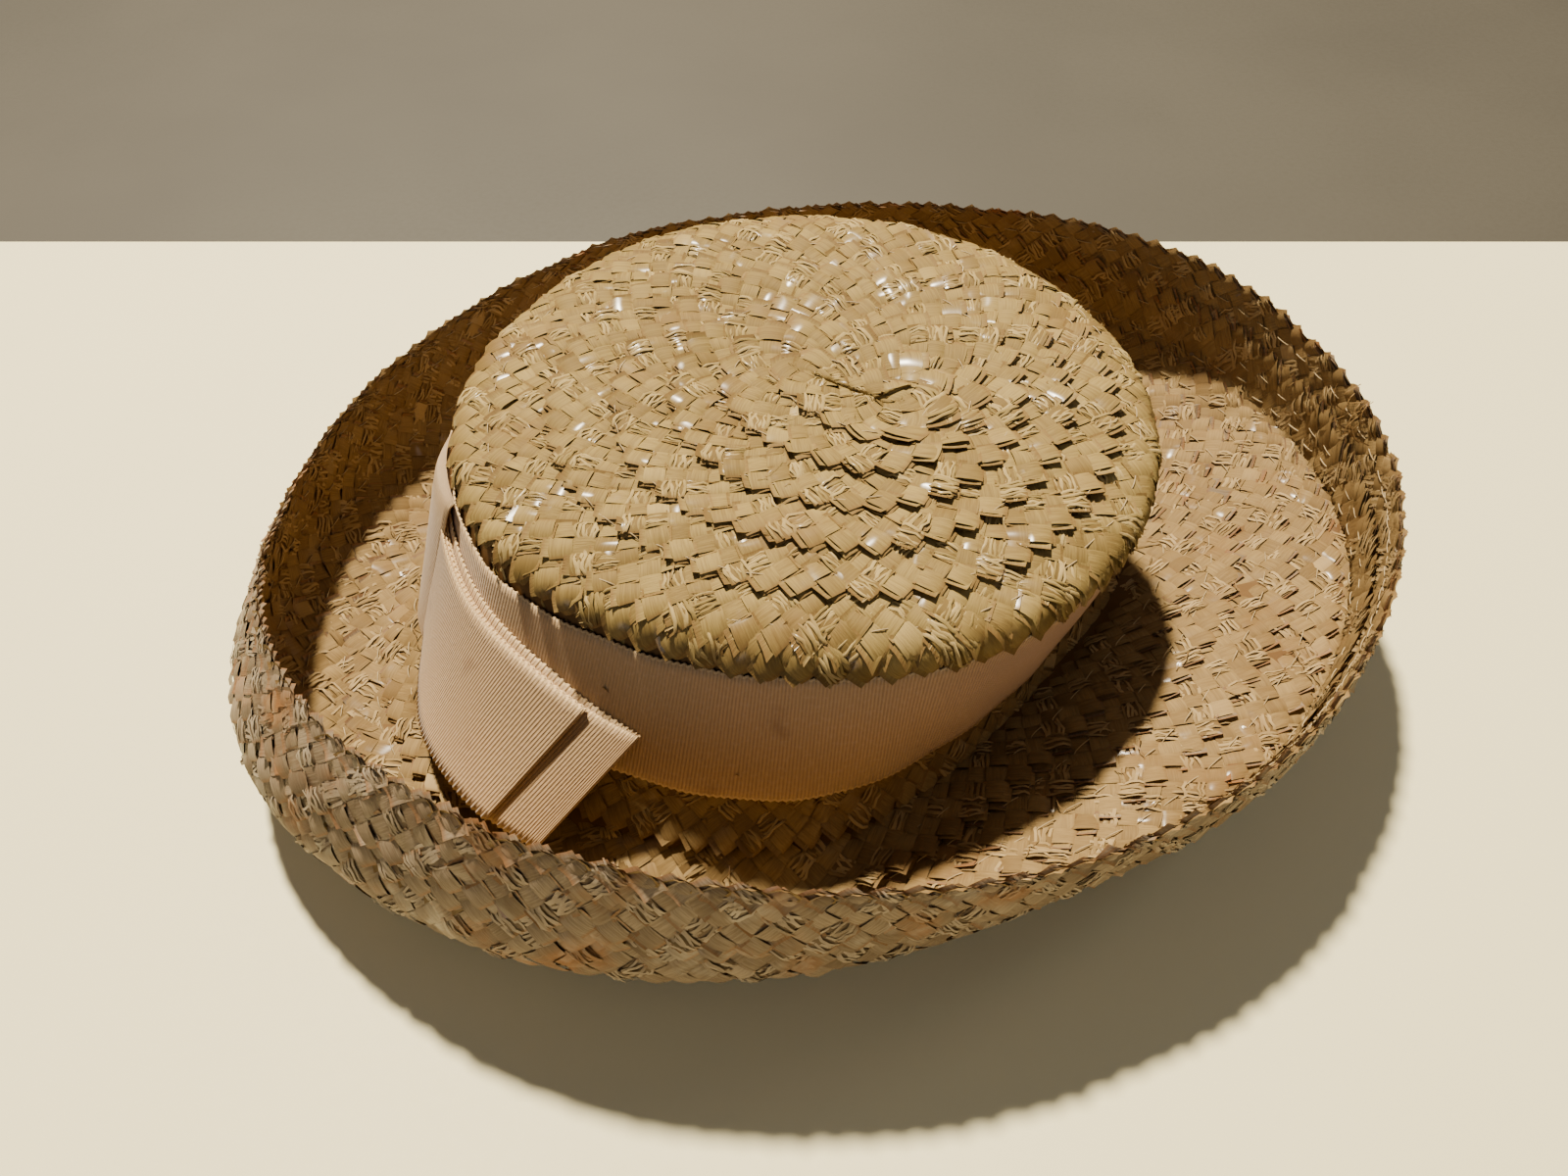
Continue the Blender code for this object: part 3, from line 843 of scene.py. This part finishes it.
def loop_surface(end, stand_off, askew=0.0):
    """Out along the inner ply, round the fold and back along the outer ply. askew is how far the inner ply
    shows above the outer one, as a share of the width."""

    def surface(along, across):
        turn = (along - 0.5) / LOOP_FOLD
        place = end * np.clip(1.0 - (np.abs(along - 0.5) - LOOP_FOLD / 2) / (0.5 - LOOP_FOLD / 2), -0.05, 1.0)
        bend = np.clip(turn, -0.5, 0.5) * math.pi
        soft = np.sin(np.clip(place / end, 0.0, 1.0) * math.pi)
        gap = PLY_GAP_HALF * (1.0 + 0.2 * soft)
        height = stand_off + PLY_GAP_HALF + gap * np.sin(bend)
        height = height + 0.00015 * soft * np.sin(across * 5.0 + place * 1.3) * (turn > 0)
        placed = loop_face(place, across + askew * np.clip(0.5 - turn, 0.0, 8.0) / 8.0, height)
        tip_now = loop_line(np.full_like(place, end))[0]
        ahead = unit(tip_now - loop_line(np.full_like(place, end - 0.05))[0])
        return placed + ahead * (PLY_GAP_HALF * np.cos(bend) * (np.abs(turn) < 0.5))[..., None]

    return surface


def knot_surface(along, across):
    """Down the knot along its length, and across it from the hidden side to the one over the loops."""
    place = along * (len(KNOT) - 1)
    climb, stand_off = np.moveaxis(along_rows(KNOT, place), -1, 0)
    width = KNOT_WIDTH / BROW_RADIUS
    angle = math.radians(KNOT_DIRECTION) + width * (across - 0.5)
    arch = np.sin(np.clip(across / 0.45, 0.0, 1.0) * math.pi / 2)
    arch = arch * (1.0 - 0.4 * np.clip(2.0 * across - 1.0, 0.0, 1.0) ** 2)
    return wall(angle, climb, BOW_OUT + np.maximum(0.0, stand_off * MM - KNOT_TUCKED) * arch)


grosgrain = grosgrain_finish()
band = ribbon("band", band_surface, 0.560, RIBBON_WIDTH)
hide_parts("ribbon_band")
lower_loop = ribbon("lower_loop", loop_surface(6.0, 0.0003, 0.055), 0.200, RIBBON_WIDTH)
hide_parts("bow_lower_loop")
upper_loop = ribbon("upper_loop", loop_surface(5.0, 0.0017), 0.170, RIBBON_WIDTH)
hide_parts("bow_upper_loop")
knot = ribbon("knot", knot_surface, 0.062, KNOT_WIDTH, picots=(0, 1))
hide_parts("bow_knot")

# Stage, light and camera

PHOTO_EYE = Vector((-0.005, -0.23296, 0.26087)) + Vector(BROW_CENTRE)
PHOTO_PITCH = 0.855
PHOTO_LENS = 25.875
LIT_POINT = Vector((0, 0, 0.03))

camera_data = bpy.data.cameras.new("camera")
camera_data.lens = PHOTO_LENS
camera_data.sensor_width = 36.0
camera_data.clip_start = 0.01
camera = bpy.data.objects.new("camera", camera_data)
camera.location = PHOTO_EYE
camera.rotation_euler = (math.pi / 2 - PHOTO_PITCH, 0.0, 0.0)
bpy.context.scene.collection.objects.link(camera)
bpy.context.scene.camera = camera


def stage_sheet(name, size, place, finish):
    """A flat square that isn't part of the hat."""
    bm = bmesh.new()
    bmesh.ops.create_grid(bm, x_segments=1, y_segments=1, size=size / 2)
    bmesh.ops.translate(bm, verts=bm.verts, vec=place)
    mesh = bpy.data.meshes.new(name)
    bm.to_mesh(mesh)
    bm.free()
    mesh.materials.append(finish)
    sheet = bpy.data.objects.new(name, mesh)
    bpy.context.scene.collection.objects.link(sheet)


pale_table = matt_finish("pale table", colour(0.755, 0.680, 0.400), colour(0.775, 0.700, 0.415), 6.0, 60.0)
stage_sheet("table", 1.6, (0, -0.61, -0.0002), pale_table)
grey_cloth = matt_finish("grey backdrop", colour(0.050, 0.043, 0.028), colour(0.058, 0.050, 0.033), 3.0, 60.0)
stage_sheet("backdrop", 3.0, (0, 0.9, -0.3), grey_cloth)


def light(name, place, size, power, tint):
    """A round lamp that shines on the middle of the hat."""
    data = bpy.data.lights.new(name, "AREA")
    data.shape = "DISK"
    data.size = size
    data.energy = power
    data.color = tint
    lamp = bpy.data.objects.new(name, data)
    lamp.location = place
    lamp.rotation_euler = (LIT_POINT - Vector(place)).to_track_quat("-Z", "Y").to_euler()
    bpy.context.scene.collection.objects.link(lamp)


light("key", (-0.74, 2.0, 3.9), 0.34, 735.0, (1.0, 0.90, 0.73))
light("low fill", (-0.7, -1.6, 0.6), 1.0, 6.0, (0.98, 0.97, 1.0))
light("side fill", (1.3, 0.5, 1.1), 0.5, 1.8, (1.0, 0.95, 0.90))

world = bpy.data.worlds.new("studio")
world.use_nodes = True
room = world.node_tree.nodes["Background"]
room.inputs["Color"].default_value = colour(0.97, 0.93, 1.0)
room.inputs["Strength"].default_value = 0.115
bpy.context.scene.world = world
